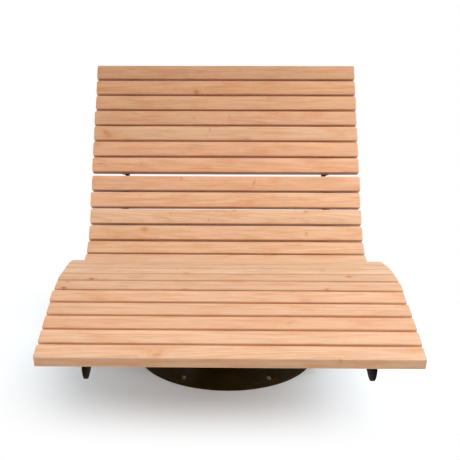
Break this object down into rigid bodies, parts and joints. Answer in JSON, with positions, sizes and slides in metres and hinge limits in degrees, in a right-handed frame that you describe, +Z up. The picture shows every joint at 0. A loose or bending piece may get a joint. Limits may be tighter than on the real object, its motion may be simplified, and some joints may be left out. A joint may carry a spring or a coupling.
{
  "type": "wooden sun lounger",
  "caption": "Double-width wave-shaped sun lounger of softwood slats on steel ribs, turning freely on a round steel base plate.",
  "frame": {"origin": "where the swivel axis meets the ground, at the middle of the base plate's underside", "axes": "+X to the right as seen from the foot end, -Y towards the feet, +Z up; left and right in the nodes' names are as seen from the foot end"},
  "size_m": [1.2, 1.7507, 1.0788],
  "materials": {
    "slat_wood": "planed larch or Douglas fir, oiled, fine lengthwise grain, rounded edges",
    "rib_coating": "black-brown powder coating, satin",
    "base_coating": "black-brown powder coating, satin",
    "zinc_plating": "zinc plated, dull",
    "bearing_steel": "turned and ground, lightly oiled",
    "ball_steel": "polished"
  },
  "bodies": {
    "base": {"base_plate": "base_coating", "levelling_screws": "zinc_plating", "pedestal_tube": "base_coating", "pedestal_gussets": "base_coating", "bearing_flange": "base_coating", "bearing_outer_ring": "bearing_steel", "bearing_balls": "ball_steel", "bearing_lower_bolts": "zinc_plating"},
    "seat": {"bearing_inner_ring": "bearing_steel", "bearing_upper_bolts": "zinc_plating", "turntable_plate": "rib_coating", "front_cross_beam": "rib_coating", "rear_cross_beam": "rib_coating", "left_side_plate": "rib_coating", "right_side_plate": "rib_coating", "left_rib": "rib_coating", "right_rib": "rib_coating", "left_frame_bolts": "zinc_plating", "right_frame_bolts": "zinc_plating", "left_slat_tabs": "rib_coating", "right_slat_tabs": "rib_coating", "left_slat_screws": "zinc_plating", "right_slat_screws": "zinc_plating", "back_tie_tube": "rib_coating", "foot_tie_tube": "rib_coating", "tie_end_plugs": "zinc_plating", "tie_bolts": "zinc_plating", "slat_01": "slat_wood", "slat_02": "slat_wood", "slat_03": "slat_wood", "slat_04": "slat_wood", "slat_05": "slat_wood", "slat_06": "slat_wood", "slat_07": "slat_wood", "slat_08": "slat_wood", "slat_09": "slat_wood", "slat_10": "slat_wood", "slat_11": "slat_wood", "slat_12": "slat_wood", "slat_13": "slat_wood", "slat_14": "slat_wood", "slat_15": "slat_wood", "slat_16": "slat_wood", "slat_17": "slat_wood", "slat_18": "slat_wood", "slat_19": "slat_wood", "slat_20": "slat_wood", "slat_21": "slat_wood", "slat_22": "slat_wood", "slat_23": "slat_wood", "slat_24": "slat_wood", "slat_25": "slat_wood", "slat_26": "slat_wood", "slat_27": "slat_wood"}
  },
  "joints": [
    {"name": "swivel", "type": "hinge", "parent": "base", "child": "seat", "pos_m": [0, 0, 0.1125], "axis": [0, 0, 1], "continuous": true}
  ]
}
